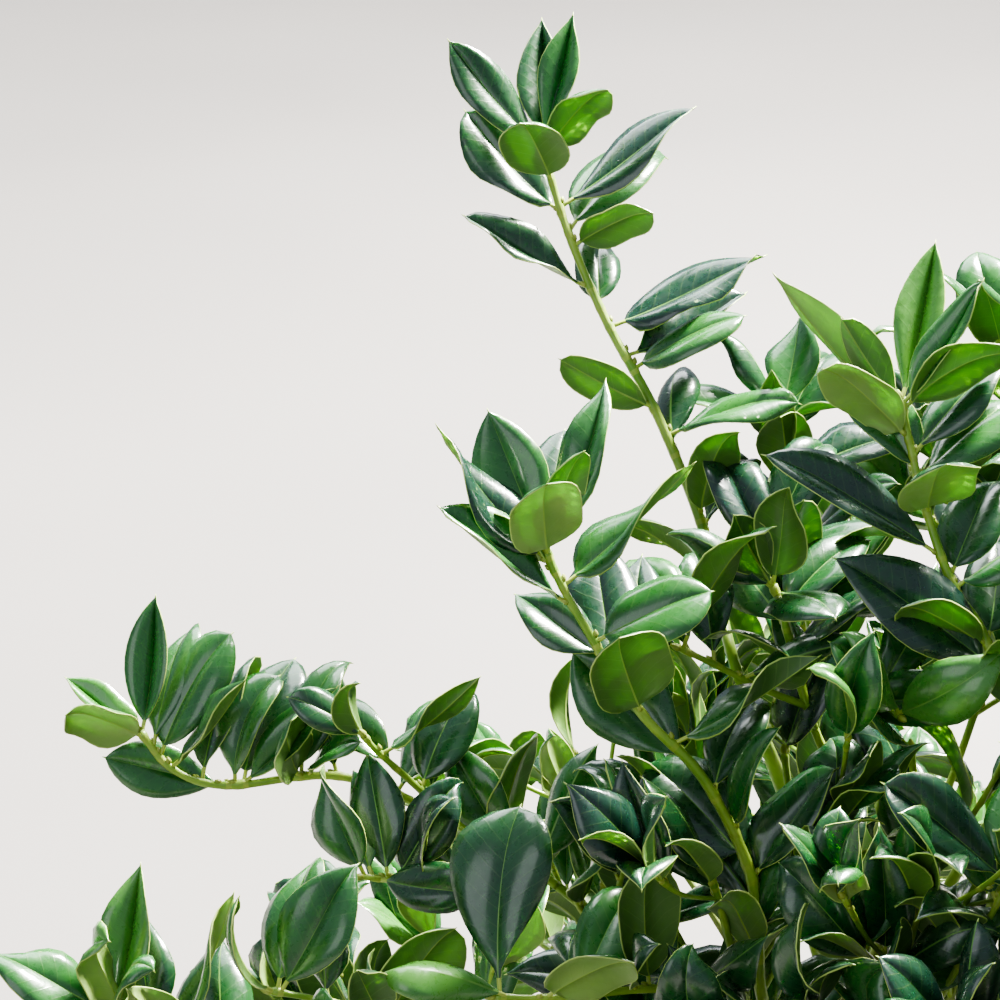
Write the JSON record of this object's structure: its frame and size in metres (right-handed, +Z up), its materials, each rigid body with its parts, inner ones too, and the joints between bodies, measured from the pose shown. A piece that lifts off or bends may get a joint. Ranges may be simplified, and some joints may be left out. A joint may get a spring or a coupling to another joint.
{
  "type": "holly bush",
  "caption": "Young rooted holly bush: a short flared trunk forks low into slender limbs that carry upright and spreading shoots of glossy, convex evergreen leaves.",
  "frame": {"origin": "middle of the flat cut under the trunk, at ground level", "axes": "+Z up; -Y is the side that the picture sees; +X is to its right"},
  "size_m": [0.5886, 0.5594, 0.5181],
  "materials": {
    "bark": "matte grey-brown bark with fine ridges and pale pores",
    "young_bark": "satin olive-green young bark that turns grey-brown towards the trunk",
    "green_stem": "smooth, bright yellow-green stems, leaf stalks and buds",
    "leaf_upper_side": "glossy, waxy dark green",
    "leaf_underside": "matte yellow-green, light glows through it a little",
    "leaf_margin": "satin, thin pale yellow-green edge and midrib"
  },
  "bodies": {
    "root": {"trunk": "bark", "tall_limb": "young_bark", "middle_limb": "young_bark", "right_limb": "young_bark", "left_limb": "young_bark", "lower_left_limb": "young_bark", "front_limb": "young_bark", "inner_limb": "young_bark", "back_limb": "young_bark", "low_limb_1": "young_bark", "low_limb_2": "young_bark", "low_limb_3": "young_bark", "low_limb_4": "young_bark", "low_limb_5": "young_bark", "low_limb_6": "young_bark", "low_limb_7": "young_bark", "mid_limb_1": "young_bark", "mid_limb_2": "young_bark", "mid_limb_3": "young_bark", "mid_limb_4": "young_bark", "mid_limb_5": "young_bark", "high_limb_1": "young_bark", "high_limb_2": "young_bark", "high_limb_3": "young_bark", "tall_shoot": "leaf_upper_side", "middle_shoot": "leaf_upper_side", "right_shoot": "leaf_upper_side", "left_shoot": "leaf_upper_side", "lower_left_shoot": "leaf_upper_side", "front_shoot": "leaf_upper_side", "inner_shoot": "leaf_upper_side", "back_shoot": "leaf_upper_side", "low_foliage_1": "leaf_upper_side", "low_foliage_2": "leaf_upper_side", "low_foliage_3": "leaf_upper_side", "low_foliage_4": "leaf_upper_side", "low_foliage_5": "leaf_upper_side", "low_foliage_6": "leaf_upper_side", "low_foliage_7": "leaf_upper_side", "mid_foliage_1": "leaf_upper_side", "mid_foliage_2": "leaf_upper_side", "mid_foliage_3": "leaf_upper_side", "mid_foliage_4": "leaf_upper_side", "mid_foliage_5": "leaf_upper_side", "high_foliage_1": "leaf_upper_side", "high_foliage_2": "leaf_upper_side", "high_foliage_3": "leaf_upper_side", "inner_foliage_1": "leaf_upper_side", "inner_foliage_2": "leaf_upper_side", "inner_foliage_3": "leaf_upper_side", "inner_foliage_4": "leaf_upper_side", "core_foliage_1": "leaf_upper_side", "core_foliage_2": "leaf_upper_side"}
  },
  "joints": []
}
